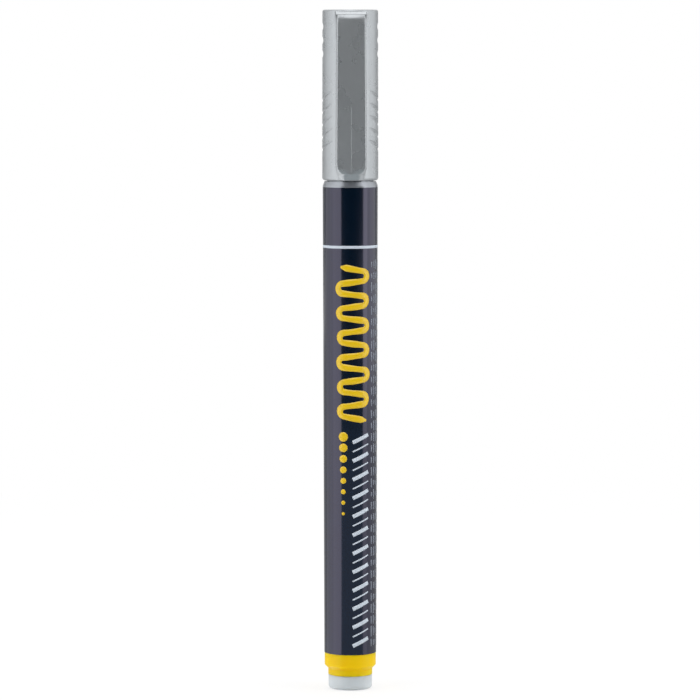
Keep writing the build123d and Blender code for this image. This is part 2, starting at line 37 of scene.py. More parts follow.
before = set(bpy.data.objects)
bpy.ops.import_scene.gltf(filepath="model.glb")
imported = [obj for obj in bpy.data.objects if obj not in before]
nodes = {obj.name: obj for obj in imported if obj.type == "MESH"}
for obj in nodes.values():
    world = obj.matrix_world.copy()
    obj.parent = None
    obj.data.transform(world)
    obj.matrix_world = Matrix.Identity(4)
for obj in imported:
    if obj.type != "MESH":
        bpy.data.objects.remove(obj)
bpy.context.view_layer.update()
scene = bpy.context.scene
scene.view_settings.view_transform = "Standard"
MM = 0.001

# Film sleeve on the barrel's taper, lapped over itself down the back
SLEEVE_LOW_Z = 7.3
SLEEVE_TOP_Z = 100.8
SLEEVE_LOW_RADIUS = 5.21
SLEEVE_TOP_RADIUS = 5.50
FILM_THICKNESS = 0.05
FILM_EDGE = 0.015  # cut ends eased by this much
FILM_STEP = 2.0  # between the film's columns
FILM_SHARP = 30.0  # edges that turn by more than this show sharp
LAP_START = 164.0  # round from the clip, where the film's end starts to ride up on its own start
LAP_RAMP = 3.0
LAP_END = 187.0
LAP_DROP = 0.25
LAP_RISE = 0.03

# Print on the sleeve: places round the film are measured from the clip's side
INK_LIFT = 0.020
INK_THICKNESS = 0.015
RING_Z = 88.99
RING_WIDTH = 0.56
RING_STEPS = 180
SCRIBBLE_MIDDLE = 0.45
SCRIBBLE_TOP_Z = 85.7
SCRIBBLE_LOW_Z = 53.8
SCRIBBLE_STROKES = 13
SCRIBBLE_REACH = 2.5
SCRIBBLE_UNEVEN = (-0.3, 0.35)  # least and most that is added to a stroke's reach
SCRIBBLE_OVERSHOOT = 2.6  # corner of two strokes, beyond their round turn
SCRIBBLE_TURN = 0.75
SCRIBBLE_STEPS = 14  # points in each stroke, and in each turn
SCRIBBLE_HALF_WIDTH = 0.62
SCRIBBLE_COLUMNS = (-1, -1 / 3, 1 / 3, 1)  # shares of the half width
SCRIBBLE_WAVER = 0.05
SCRIBBLE_WAVER_RATE = 0.37  # radians from point to point
SCRIBBLE_TIP = 0.35  # share of the width at the two ends
SCRIBBLE_TIP_GROWTH = 0.2  # share that each point further in adds
SCRIBBLE_SEED = 11
BAR_MIDDLE = 2.05
BAR_LOW_Z = 9.9
BARS = 23
BAR_PITCH = 1.86
BAR_LENGTH = 3.7
BAR_THICK = 0.75
BAR_THIN = 0.28
BAR_SLANT = 24.0
BAR_COLUMNS = 16  # so that a bar bends round the film
DOT_MIDDLE = -1.55
DOT_TOP_Z = 51.2
DOTS = 8
DOT_PITCH = 2.2
DOT_RADIUS = 0.95
DOT_SHRINK = 0.09
DOT_SIDES = 32
DASH_START = 4.7
DASH_LOW_Z = 9.6
DASH_LINES = 9
DASH_LINE_PITCH = 0.8
DASHES = 34
DASH_PITCH = 2.3
DASH_WIDTH = 0.32
DASH_SHORTEST = 0.35  # shares of the dash pitch
DASH_LONGEST = 0.92
DASH_SEED = 5

# Pocket clip: arm, flat face with a rounded end and a sloping nose, root bar, foot and face bead
CLIP_PIVOT_Y = -6.99
CLIP_PIVOT_Z = 133.369
CLIP_BAR_RADIUS = 1.1
CLIP_BAR_HALF = 2.9
CLIP_BAR_STEPS = 40
CLIP_BACK_Y = -6.89
CLIP_FRONT_Y = -8.09
CLIP_LEDGE_Z = 134.1
CLIP_END_Z = 102.3
CLIP_HALF_ROOT = 2.95
CLIP_HALF_END = 3.11
CLIP_HALF_TIP = 2.35
CLIP_TIP_CURVE = 1.6
CLIP_SIDE_BEVEL = 0.3
CLIP_BEVEL_DEPTH = 0.6
CLIP_EASE = 0.06  # moulded radius on the arm's edges
CLIP_SHARP = 50.0  # edges that turn by more than this show sharp
BROW_TOP_Z = 134.965  # the arm's top carries on the slope of the cap's block, then eases off
BROW_KNEE_Z = 134.69
BROW_LOW_Z = 133.4
BROW_FADE = 0.34
BROW_SLOPE = 1.5  # height for depth
BROW_STEPS = 18
BROW_BACK_Y = -7.56
BROW_EASE_SHARE = 0.2  # edge radius, of the brow's thickness
FACE_SLOPE = 1.4  # each half of the face falls away from the middle
FACE_ROUND_Z = 105.5
FACE_ROUND_STEPS = 14
NOSE_TOP_Z = 103.55
NOSE_HALF = 1.36
NOSE_SET_BACK = 0.42
NOSE_STEPS = 4
SHOULDER_SHARE = 0.8  # of the nose's slope, taken by the bevel beside it
FOOT_Z = 105.3
FOOT_RADIUS = 1.0
FOOT_HALF_WIDTH = 1.5
FOOT_SINK = 0.05
FOOT_STEPS = 20
BEAD_HEIGHT = 0.025
BEAD_WIDTH = 0.08
BEAD_LOW_Z = 103.8
BEAD_TOP_Z = 116.8
# Shares of the bead's width and height
BEAD_SHAPE = ((-0.5, -0.3), (-0.25, 0.8), (0, 1), (0.25, 0.8), (0.5, -0.3))

# Valve spring, whose coil is drawn at one length; the real spring shortens as the nib is pressed
SPRING_FLOOR_Z = 79.6
SPRING_HEAD_Z = 89.35
SPRING_COIL_RADIUS = 1.5
SPRING_WIRE_RADIUS = 0.2
SPRING_TURNS = 7
SPRING_END_GAP = 0.02
SPRING_TURN_STEPS = 48
SPRING_WIRE_SIDES = 12

# Studio, in metres, with angles round from the clip
CAMERA_DISTANCE = 0.79
CAMERA_HEIGHT = 0.130
CAMERA_TURN = -1.5
CAMERA_AIM = (-0.00005, 0.0, 0.068154)
CAMERA_LENS = 203.66  # this and the sensor in millimetres
SENSOR_WIDTH = 36.0
DARK_LEFT = -40.0  # dark sector in front, which the middle of the film reflects
DARK_RIGHT = 54.5
DARK_REAR = 126.0  # dark sector behind, which the film's edges reflect
# Outer edges and strengths of the side lights, which overlap so that they fade out towards the back
LEFT_STEPS = ((-80.0, 0.4), (-98.0, 0.32), (-112.0, 0.22), (-126.0, 0.06))
RIGHT_STEPS = ((75.0, 0.8), (101.0, 0.27), (114.0, 0.25), (126.0, 0.17))
SIDE_DISTANCE = 0.6
SIDE_HEIGHT = 1.2
SIDE_MIDDLE_Z = 0.5
OVERHEAD_STRENGTH = 1.55
OVERHEAD_SIZE = 0.5
OVERHEAD_PLACE = (0.0, 0.34, 1.07)
OVERHEAD_AIM = (0.0, 0.0, 0.13)
CEILING_HALF = 0.4
CEILING_REACH = 1.9
CEILING_BACK = 0.09
CEILING_STRENGTH = 2.6
CARD_DISTANCE = 1.0
CARD_HEIGHT = 0.5
CARD_DARK = (0.008, 0.01, 0.012, 1.0)
WHITE = (1.0, 1.0, 1.0, 1.0)
PAPER_WHITE = (0.9, 0.9, 0.9, 1.0)
SHADOW_REACH = 0.05  # the paper's own glow is weaker up to here, and full beyond the fade
SHADOW_FADE = 0.35
SHADOW_GLOW = 0.7
FLOOR_HALF = 4.0
FLOOR_Z = -5e-5  # paper just under the foot, and its reflections just over the paper
REFLECTION_Z = 5e-5
REFLECTION_STEPS = 12
# Colours of the painted floor reflections in front of the marker, which only glossy surfaces show
NEAR_FLOOR_TINT = (0.39, 0.47, 0.5, 1.0)
FAR_FLOOR_TINT = (0.3, 0.47, 0.52, 1.0)
FLOOR_START = 0.0045
NEAR_FLOOR_REACH = 0.42
FAR_FLOOR_REACH = 0.49
SIDE_FLOOR_REACH = 1.05 * SIDE_DISTANCE
CARD_FLOOR_REACH = 0.95 * CARD_DISTANCE
REAR_LEVEL = 0.5
RIGHT_FLOOR_SHARE = 0.55  # floor on the right, beside that on the left


def linear(hex_colour):
    """Linear colour from an sRGB hex value."""
    channels = [int(hex_colour[i : i + 2], 16) / 255 for i in (1, 3, 5)]
    values = [c / 12.92 if c <= 0.04045 else ((c + 0.055) / 1.055) ** 2.4 for c in channels]
    return (*values, 1.0)


def per_size(millimetres):
    """Pattern scale, per metre, for features of a real size."""
    return 1.0 / (millimetres * MM)


def add(tree, kind, inputs=None, **settings):
    """Adds a node with its settings, and fills or links its inputs."""
    node = tree.nodes.new(kind)
    for name, value in settings.items():
        setattr(node, name, value)
    for name, value in (inputs or {}).items():
        if isinstance(value, bpy.types.NodeSocket):
            tree.links.new(value, node.inputs[name])
        else:
            node.inputs[name].default_value = value
    return node


def start_material(name):
    """An empty material, its tree, and the socket that gives each point's place on the piece."""
    material = bpy.data.materials.new(name)
    material.use_nodes = True
    tree = material.node_tree
    tree.nodes.clear()
    return material, tree, add(tree, "ShaderNodeTexCoord").outputs["Object"]


def end_material(material, colours, gloss, dents, settings):
    """Ends a material with its shader, in which patterns steer the colour, gloss and relief.

    colours: a pattern and two hex values. gloss: a pattern and two values of roughness.
    dents: a pattern and its depth in millimetres, or None where the surface is ground smooth.
    """
    tree = material.node_tree
    pattern, low_hex, high_hex = colours
    colour = add(
        tree,
        "ShaderNodeMix",
        {0: pattern, 6: linear(low_hex), 7: linear(high_hex)},
        data_type="RGBA",
    )
    pattern, low, high = gloss
    roughness = add(tree, "ShaderNodeMapRange", {"Value": pattern, "To Min": low, "To Max": high})
    inputs = {"Base Color": colour.outputs[2], "Roughness": roughness.outputs[0], **settings}
    if dents:
        pattern, depth = dents
        relief = add(tree, "ShaderNodeBump", {"Height": pattern, "Distance": depth * MM})
        inputs["Normal"] = relief.outputs[0]
    shader = add(tree, "ShaderNodeBsdfPrincipled", inputs)
    add(tree, "ShaderNodeOutputMaterial", {"Surface": shader.outputs[0]})
    return material


def silver_polypropylene(name, hex_values, roughness):
    """Polypropylene moulded with aluminium flake: soft metallic sheen, fine sparkle, flow marks."""
    material, tree, place = start_material(name)
    # Flakes are 0.02 to 0.05 mm, drawn at 0.12 mm so that they show
    flake = add(tree, "ShaderNodeTexVoronoi", {"Vector": place, "Scale": per_size(0.12)})
    flow = add(tree, "ShaderNodeTexNoise", {"Vector": place, "Scale": per_size(4.0), "Detail": 3.0})
    # A third of the flakes' sparkle is added to the flow marks
    glint = add(
        tree,
        "ShaderNodeMath",
        {0: flake.outputs["Distance"], 1: 0.35, 2: flow.outputs["Fac"]},
        operation="MULTIPLY_ADD",
        use_clamp=True,
    )
    return end_material(
        material,
        colours=(glint.outputs[0], *hex_values),
        gloss=(flow.outputs["Fac"], *roughness),
        dents=(flow.outputs["Fac"], 0.004),
        settings={"Metallic": 0.55, "IOR": 1.49},
    )


def printed_film():
    """Navy polyester film, shrunk on: glossy, faint orange peel, violet tinge in its gloss."""
    material, tree, place = start_material("navy_printed_film")
    peel = add(tree, "ShaderNodeTexNoise", {"Vector": place, "Scale": per_size(2.5), "Detail": 2.0})
    haze = add(tree, "ShaderNodeTexNoise", {"Vector": place, "Scale": per_size(0.3), "Detail": 2.0})
    return end_material(
        material,
        colours=(peel.outputs["Fac"], "#000c19", "#021221"),
        gloss=(haze.outputs["Fac"], 0.11, 0.16),
        dents=(peel.outputs["Fac"], 0.004),
        settings={"IOR": 1.63, "Specular Tint": (0.82, 0.76, 1.0, 1.0)},
    )


def yellow_polypropylene():
    """Yellow polypropylene tube: even strong colour, satin from the mould's spark-eroded face."""
    material, tree, place = start_material("yellow_moulded_polypropylene")
    flow = add(tree, "ShaderNodeTexNoise", {"Vector": place, "Scale": per_size(5.0), "Detail": 2.0})
    grit = add(
        tree, "ShaderNodeTexNoise", {"Vector": place, "Scale": per_size(0.15), "Detail": 3.0}
    )
    return end_material(
        material,
        colours=(flow.outputs["Fac"], "#e3ba00", "#ebc500"),
        gloss=(grit.outputs["Fac"], 0.32, 0.42),
        dents=(grit.outputs["Fac"], 0.004),
        settings={
            "IOR": 1.49,
            "Specular IOR Level": 0.12,
            "Subsurface Weight": 0.8,
            "Subsurface Scale": 2.0 * MM,
            "Subsurface Radius": (1.0, 0.7, 0.1),
        },
    )


def natural_polyethylene_plug():
    """Uncoloured polyethylene: milky, lets a little light in, waxy gloss."""
    material, tree, place = start_material("natural_polyethylene_plug")
    cloud = add(
        tree, "ShaderNodeTexNoise", {"Vector": place, "Scale": per_size(3.0), "Detail": 3.0}
    )
    return end_material(
        material,
        colours=(cloud.outputs["Fac"], "#bec6cc", "#c8cfd4"),
        gloss=(cloud.outputs["Fac"], 0.38, 0.48),
        dents=(cloud.outputs["Fac"], 0.01),
        settings={
            "IOR": 1.51,
            "Subsurface Weight": 0.8,
            "Subsurface Scale": 3.0 * MM,
            "Subsurface Radius": (1.0, 1.0, 1.0),
        },
    )


def soft_polyethylene_liner():
    """Soft white polyethylene cup, matt from a sand-blasted core."""
    material, tree, place = start_material("soft_polyethylene_liner")
    grit = add(tree, "ShaderNodeTexNoise", {"Vector": place, "Scale": per_size(0.2), "Detail": 3.0})
    return end_material(
        material,
        colours=(grit.outputs["Fac"], "#dcdcd6", "#e8e8e3"),
        gloss=(grit.outputs["Fac"], 0.45, 0.60),
        dents=(grit.outputs["Fac"], 0.006),
        settings={"IOR": 1.51},
    )


def fibre_nib():
    """Bonded acrylic fibre rod soaked with yellow chalk ink: fine streaks along the axis, matt."""
    material, tree, place = start_material("ink_stained_fibre_nib")
    # Fibres are 0.03 mm across, drawn at 0.1 mm so that they show, and stretched along the rod
    along = add(tree, "ShaderNodeMapping", {"Vector": place, "Scale": (1.0, 1.0, 0.03)})
    fibre = add(
        tree,
        "ShaderNodeTexNoise",
        {"Vector": along.outputs[0], "Scale": per_size(0.1), "Detail": 4.0},
    )
    return end_material(
        material,
        colours=(fibre.outputs["Fac"], "#d9a60f", "#f0cf3e"),
        gloss=(fibre.outputs["Fac"], 0.70, 0.95),
        dents=(fibre.outputs["Fac"], 0.03),
        settings={"IOR": 1.45},
    )


def fibre_wadding():
    """Crimped polyester wadding that holds spare ink: fluffy and stained."""
    material, tree, place = start_material("ink_soaked_polyester_wadding")
    # Crimped fibres are 0.02 mm thick, drawn as 0.25 mm tufts so that they show
    tufts = add(
        tree,
        "ShaderNodeTexNoise",
        {"Vector": place, "Scale": per_size(0.25), "Detail": 6.0, "Distortion": 1.5},
    )
    return end_material(
        material,
        colours=(tufts.outputs["Fac"], "#c99b2a", "#ecd078"),
        gloss=(tufts.outputs["Fac"], 0.85, 1.0),
        dents=(tufts.outputs["Fac"], 0.05),
        settings={"IOR": 1.45},
    )


def natural_polypropylene_valve():
    """Uncoloured polypropylene valve moulding: pale and slightly cloudy, satin."""
    material, tree, place = start_material("natural_polypropylene_valve")
    cloud = add(
        tree, "ShaderNodeTexNoise", {"Vector": place, "Scale": per_size(1.5), "Detail": 3.0}
    )
    return end_material(
        material,
        colours=(cloud.outputs["Fac"], "#dad9d1", "#e9e8e2"),
        gloss=(cloud.outputs["Fac"], 0.30, 0.45),
        dents=(cloud.outputs["Fac"], 0.008),
        settings={"IOR": 1.49},
    )


def moulded_elastomer():
    """Black thermoplastic elastomer ring: matt, with a soft grain."""
    material, tree, place = start_material("black_elastomer_seat")
    grain = add(
        tree, "ShaderNodeTexNoise", {"Vector": place, "Scale": per_size(0.12), "Detail": 4.0}
    )
    return end_material(
        material,
        colours=(grain.outputs["Fac"], "#1a1a1c", "#2b2b2e"),
        gloss=(grain.outputs["Fac"], 0.60, 0.80),
        dents=(grain.outputs["Fac"], 0.01),
        settings={"IOR": 1.52},
    )


def natural_acetal():
    """Uncoloured acetal: hard opaque white with a slippery gloss."""
    material, tree, place = start_material("natural_acetal_stem")
    flow = add(tree, "ShaderNodeTexNoise", {"Vector": place, "Scale": per_size(2.0), "Detail": 2.0})
    return end_material(
        material,
        colours=(flow.outputs["Fac"], "#ecebe6", "#f4f3ef"),
        gloss=(flow.outputs["Fac"], 0.22, 0.32),
        dents=(flow.outputs["Fac"], 0.005),
        settings={"IOR": 1.48},
    )


def drawn_spring_wire():
    """Stainless wire: bright, with marks from the drawing die."""
    material, tree, place = start_material("drawn_stainless_wire")
    marks = add(
        tree, "ShaderNodeTexNoise", {"Vector": place, "Scale": per_size(0.08), "Detail": 3.0}
    )
    return end_material(
        material,
        colours=(marks.outputs["Fac"], "#b4b3b0", "#cfcecb"),
        gloss=(marks.outputs["Fac"], 0.20, 0.38),
        dents=(marks.outputs["Fac"], 0.004),
        settings={"Metallic": 1.0},
    )


def polished_ball_steel():
    """Ground and polished bearing steel, filmed over in places with ink."""
    material, tree, place = start_material("polished_ball_steel")
    smear = add(
        tree, "ShaderNodeTexNoise", {"Vector": place, "Scale": per_size(1.2), "Detail": 4.0}
    )
    return end_material(
        material,
        colours=(smear.outputs["Fac"], "#bfbfbf", "#d2d2d2"),
        gloss=(smear.outputs["Fac"], 0.06, 0.20),
        dents=None,
        settings={"Metallic": 1.0},
    )


def screen_ink(name, low_hex, high_hex):
    """Opaque ink screen-printed on the film: flat colour with a slight mesh mark."""
    material, tree, place = start_material(name)
    mesh_mark = add(
        tree, "ShaderNodeTexNoise", {"Vector": place, "Scale": per_size(0.35), "Detail": 3.0}
    )
    return end_material(
        material,
        colours=(mesh_mark.outputs["Fac"], low_hex, high_hex),
        gloss=(mesh_mark.outputs["Fac"], 0.18, 0.28),
        dents=(mesh_mark.outputs["Fac"], 0.003),
        settings={"IOR": 1.5},
    )


def place_piece(name, mesh, body, material, stands_for=()):
    """Links a finished mesh, rides it on its body and hides the solids that it stands for."""
    obj = bpy.data.objects.new(name, mesh)
    scene.collection.objects.link(obj)
    mesh.materials.clear()
    mesh.materials.append(material)
    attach(obj, body)
    if stands_for:
        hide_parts(*stands_for)
    return obj


def plain_mesh(bm, name):
    """Mesh in metres from a bmesh in millimetres."""
    bmesh.ops.scale(bm, vec=(MM, MM, MM), verts=bm.verts)
    mesh = bpy.data.meshes.new(name)
    bm.to_mesh(mesh)
    bm.free()
    return mesh


def finish_mesh(bm, name, sharp_angle, creases=()):
    """Plain mesh with its faces outwards, smooth apart from its sharp edges and creases."""
    bmesh.ops.recalc_face_normals(bm, faces=bm.faces)
    for face in bm.faces:
        face.smooth = True
    for edge in bm.edges:
        edge.smooth = not (edge.is_manifold and edge.calc_face_angle(0.0) > radians(sharp_angle))
    for edge in creases:
        edge.smooth = False
    return plain_mesh(bm, name)


def join_rings(bm, rings):
    """Skin over matching rings of corners, one after the other."""
    for ring, following in zip(rings, rings[1:]):
        for i in range(len(ring)):
            j = (i + 1) % len(ring)
            bm.faces.new((ring[i], ring[j], following[j], following[i]))


def closed_bar(bm, outlines):
    """Closed bar through matching outlines."""
    rings = [[bm.verts.new(point) for point in outline] for outline in outlines]
    join_rings(bm, rings)
    bm.faces.new(rings[0])
    bm.faces.new(rings[-1])
    return rings


def sleeve_radius(z):
    """Outer radius of the film sleeve at a height."""
    share = (z - SLEEVE_LOW_Z) / (SLEEVE_TOP_Z - SLEEVE_LOW_Z)
    return SLEEVE_LOW_RADIUS + (SLEEVE_TOP_RADIUS - SLEEVE_LOW_RADIUS) * share


def round_from_clip(turn, radius, z):
    """Point at an angle round from the clip's side, positive towards +X."""
    return Vector((radius * sin(radians(turn)), -radius * cos(radians(turn)), z))


def lap_rise(turn):
    """How far the film stands off at an angle, where its end laps over its start."""
    if not LAP_START < turn < LAP_END:
        return 0.0
    return LAP_RISE * min(1.0, (turn - LAP_START) / LAP_RAMP, (LAP_END - turn) / LAP_DROP)


def wrapped_film():
    """The film sleeve, with its lap seam down the back."""
    turns = [FILM_STEP * i for i in range(int(360 / FILM_STEP))]
    seam = [LAP_START, LAP_START + LAP_RAMP, LAP_END - LAP_DROP, LAP_END]
    turns = sorted(set(turns + seam))
    section = (
        (SLEEVE_LOW_Z, FILM_THICKNESS),
        (SLEEVE_LOW_Z, FILM_EDGE),
        (SLEEVE_LOW_Z + FILM_EDGE, 0.0),
        (SLEEVE_TOP_Z - FILM_EDGE, 0.0),
        (SLEEVE_TOP_Z, FILM_EDGE),
        (SLEEVE_TOP_Z, FILM_THICKNESS),
    )
    bm = bmesh.new()
    columns = []
    for turn in turns:
        column = []
        for z, inset in section:
            rise = lap_rise(turn) if inset < FILM_THICKNESS else 0.0
            column.append(bm.verts.new(round_from_clip(turn, sleeve_radius(z) - inset + rise, z)))
        columns.append(column)
    join_rings(bm, columns + columns[:1])
    return finish_mesh(bm, "film_sleeve", FILM_SHARP)


def wrap_print(bm, name):
    """Bends a flat print, in millimetres across and up, round the sleeve with its face outwards."""
    for vert in bm.verts:
        across, up, _ = vert.co
        radius = sleeve_radius(up)
        turn = degrees(across / radius)
        vert.co = round_from_clip(turn, radius + lap_rise(turn) + INK_LIFT, up)
    bm.normal_update()
    for face in bm.faces:
        face.smooth = True
        middle = face.calc_center_median()
        if face.normal.x * middle.x + face.normal.y * middle.y < 0:
            face.normal_flip()
    return plain_mesh(bm, name)


def thicken_ink(obj):
    """Gives a print its thickness, towards the film."""
    solid = obj.modifiers.new("ink_thickness", "SOLIDIFY")
    solid.thickness = INK_THICKNESS * MM
    solid.offset = -1.0


def printed_ring():
    """The ring printed round the sleeve's upper end."""
    bm = bmesh.new()
    rows = []
    for up in (RING_Z - RING_WIDTH / 2, RING_Z + RING_WIDTH / 2):
        round_length = 2 * pi * sleeve_radius(up)
        points = [(round_length * i / RING_STEPS, up, 0) for i in range(RING_STEPS)]
        rows.append([bm.verts.new(point) for point in points])
    join_rings(bm, rows)
    return wrap_print(bm, "ring_print")


def round_turn(before, corner, after):
    """Points of the round turn between the two strokes that meet at a corner."""
    back = (before - corner).normalized()
    onward = (after - corner).normalized()
    half_angle = back.angle(onward) / 2
    centre = corner + (back + onward).normalized() * SCRIBBLE_TURN / sin(half_angle)
    tangent = SCRIBBLE_TURN / tan(half_angle)
    first = corner + back * tangent - centre
    last = corner + onward * tangent - centre
    return [centre + first.slerp(last, k / SCRIBBLE_STEPS) for k in range(SCRIBBLE_STEPS + 1)]


def scribble_path():
    """Middle line of a scribble: slanted strokes of uneven reach downwards, with round turns."""
    draw = random.Random(SCRIBBLE_SEED)
    corners = []
    for i in range(SCRIBBLE_STROKES + 1):
        reach = SCRIBBLE_REACH + SCRIBBLE_OVERSHOOT + draw.uniform(*SCRIBBLE_UNEVEN)
        height = SCRIBBLE_TOP_Z - (SCRIBBLE_TOP_Z - SCRIBBLE_LOW_Z) * i / SCRIBBLE_STROKES
        corners.append(Vector((SCRIBBLE_MIDDLE + (reach if i % 2 else -reach), height)))
    turns = [round_turn(*three) for three in zip(corners, corners[1:], corners[2:])]
    begin = corners[0] + (corners[1] - corners[0]).normalized() * SCRIBBLE_OVERSHOOT
    end = corners[-1] + (corners[-2] - corners[-1]).normalized() * SCRIBBLE_OVERSHOOT
    points = [begin]
    for turn in turns + [[end]]:
        start = points[-1]
        points += [start.lerp(turn[0], k / SCRIBBLE_STEPS) for k in range(1, SCRIBBLE_STEPS)]
        points += turn
    return points


def chalk_scribble():
    """A thick scribble, as a chalk tip leaves on a board, narrower at its two ends."""
    points = scribble_path()
    last = len(points) - 1
    bm = bmesh.new()
    rows = []
    for i, point in enumerate(points):
        run = (points[min(i + 1, last)] - points[max(i - 1, 0)]).normalized()
        taper = min(1.0, SCRIBBLE_TIP + SCRIBBLE_TIP_GROWTH * min(i, last - i))
        half = taper * (SCRIBBLE_HALF_WIDTH + SCRIBBLE_WAVER * sin(SCRIBBLE_WAVER_RATE * i))
        row = [
            (point.x - run.y * half * share, point.y + run.x * half * share, 0)
            for share in SCRIBBLE_COLUMNS
        ]
        rows.append([bm.verts.new(corner) for corner in row])
    for row, following in zip(rows, rows[1:]):
        for i in range(len(row) - 1):
            bm.faces.new((row[i], row[i + 1], following[i + 1], following[i]))
    return wrap_print(bm, "chalk_scribble_print")


def new_tree(name, sizes):
    """A Geometry Nodes tree with named inputs, and the node that gives them."""
    tree = bpy.data.node_groups.new(name, "GeometryNodeTree")
    for label, kind in sizes:
        tree.interface.new_socket(label, in_out="INPUT", socket_type=kind)
    tree.interface.new_socket("Material", in_out="INPUT", socket_type="NodeSocketMaterial")
    tree.interface.new_socket("Geometry", in_out="OUTPUT", socket_type="NodeSocketGeometry")
    return tree, add(tree, "NodeGroupInput").outputs


def end_tree(tree, sizes, geometry):
    """Ends a tree with Realize Instances and Set Material."""
    real = add(tree, "GeometryNodeRealizeInstances", {"Geometry": geometry})
    painted = add(
        tree,
        "GeometryNodeSetMaterial",
        {"Geometry": real.outputs[0], "Material": sizes["Material"]},
    )
    add(tree, "NodeGroupOutput", {"Geometry": painted.outputs[0]})
    return tree


def grown_mesh(tree, values):
    """Plain mesh that a tree makes with these values for its inputs."""
    obj = bpy.data.objects.new(tree.name, bpy.data.meshes.new(tree.name))
    scene.collection.objects.link(obj)
    modifier = obj.modifiers.new(tree.name, "NODES")
    modifier.node_group = tree
    for item in tree.interface.items_tree:
        if item.in_out == "INPUT":
            modifier[item.identifier] = values[item.name]
    ready = obj.evaluated_get(bpy.context.evaluated_depsgraph_get())
    made = bpy.data.meshes.new_from_object(ready)
    obj.modifiers.remove(modifier)
    bpy.data.objects.remove(obj)
    return made


def print_from(tree, values, name, across, low_z):
    """A flat print from a tree, put in its place on the sleeve and wrapped round it."""
    bm = bmesh.new()
    bm.from_mesh(grown_mesh(tree, values))
    bmesh.ops.scale(bm, vec=(1 / MM, 1 / MM, 1 / MM), verts=bm.verts)
    bmesh.ops.translate(bm, vec=(across, low_z, 0), verts=bm.verts)
    return wrap_print(bm, name)


def slanted_bar_tree():
    """A row of slanted bars, thick and thin in turn."""
    tree, sizes = new_tree(
        "slanted_bars",
        (
            ("Bars", "NodeSocketInt"),
            ("Pitch", "NodeSocketFloat"),
            ("Length", "NodeSocketFloat"),
            ("Thick", "NodeSocketFloat"),
            ("Thin", "NodeSocketFloat"),
            ("Slant", "NodeSocketFloat"),
        ),
    )
    step = add(tree, "ShaderNodeCombineXYZ", {"Y": sizes["Pitch"]})
    row = add(tree, "GeometryNodeMeshLine", {"Count": sizes["Bars"], "Offset": step.outputs[0]})
    bar = add(
        tree,
        "GeometryNodeMeshGrid",
        {"Vertices X": BAR_COLUMNS, "Vertices Y": 2, "Size X": 1.0, "Size Y": 1.0},
    )
    number = add(tree, "GeometryNodeInputIndex")
    odd = add(tree, "ShaderNodeMath", {0: number.outputs[0], 1: 2.0}, operation="MODULO")
    width = add(
        tree,
        "ShaderNodeMix",
        {0: odd.outputs[0], 2: sizes["Thick"], 3: sizes["Thin"]},
        data_type="FLOAT",
    )
    size = add(
        tree, "ShaderNodeCombineXYZ", {"X": sizes["Length"], "Y": width.outputs[0], "Z": 1.0}
    )
    slant = add(tree, "ShaderNodeCombineXYZ", {"Z": sizes["Slant"]})
    bars = add(
        tree,
        "GeometryNodeInstanceOnPoints",
        {
            "Points": row.outputs["Mesh"],
            "Instance": bar.outputs["Mesh"],
            "Rotation": slant.outputs[0],
            "Scale": size.outputs[0],
        },
    )
    return end_tree(tree, sizes, bars.outputs[0])


def dot_row_tree():
    """A row of round dots that shrink evenly from the first to the last."""
    tree, sizes = new_tree(
        "shrinking_dots",
        (
            ("Dots", "NodeSocketInt"),
            ("Pitch", "NodeSocketFloat"),
            ("Largest", "NodeSocketFloat"),
            ("Shrink", "NodeSocketFloat"),
        ),
    )
    step = add(tree, "ShaderNodeCombineXYZ", {"Y": sizes["Pitch"]})
    row = add(tree, "GeometryNodeMeshLine", {"Count": sizes["Dots"], "Offset": step.outputs[0]})
    disc = add(
        tree,
        "GeometryNodeMeshCircle",
        {"Vertices": DOT_SIDES, "Radius": 1.0},
        fill_type="TRIANGLE_FAN",
    )
    fine = add(tree, "GeometryNodeSubdivideMesh", {"Mesh": disc.outputs["Mesh"], "Level": 1})
    number = add(tree, "GeometryNodeInputIndex")
    less = add(
        tree,
        "ShaderNodeMath",
        {0: number.outputs[0], 1: sizes["Shrink"]},
        operation="MULTIPLY",
    )
    radius = add(
        tree,
        "ShaderNodeMath",
        {0: sizes["Largest"], 1: less.outputs[0]},
        operation="SUBTRACT",
    )
    dots = add(
        tree,
        "GeometryNodeInstanceOnPoints",
        {
            "Points": row.outputs["Mesh"],
            "Instance": fine.outputs["Mesh"],
            "Scale": radius.outputs[0],
        },
    )
    return end_tree(tree, sizes, dots.outputs[0])


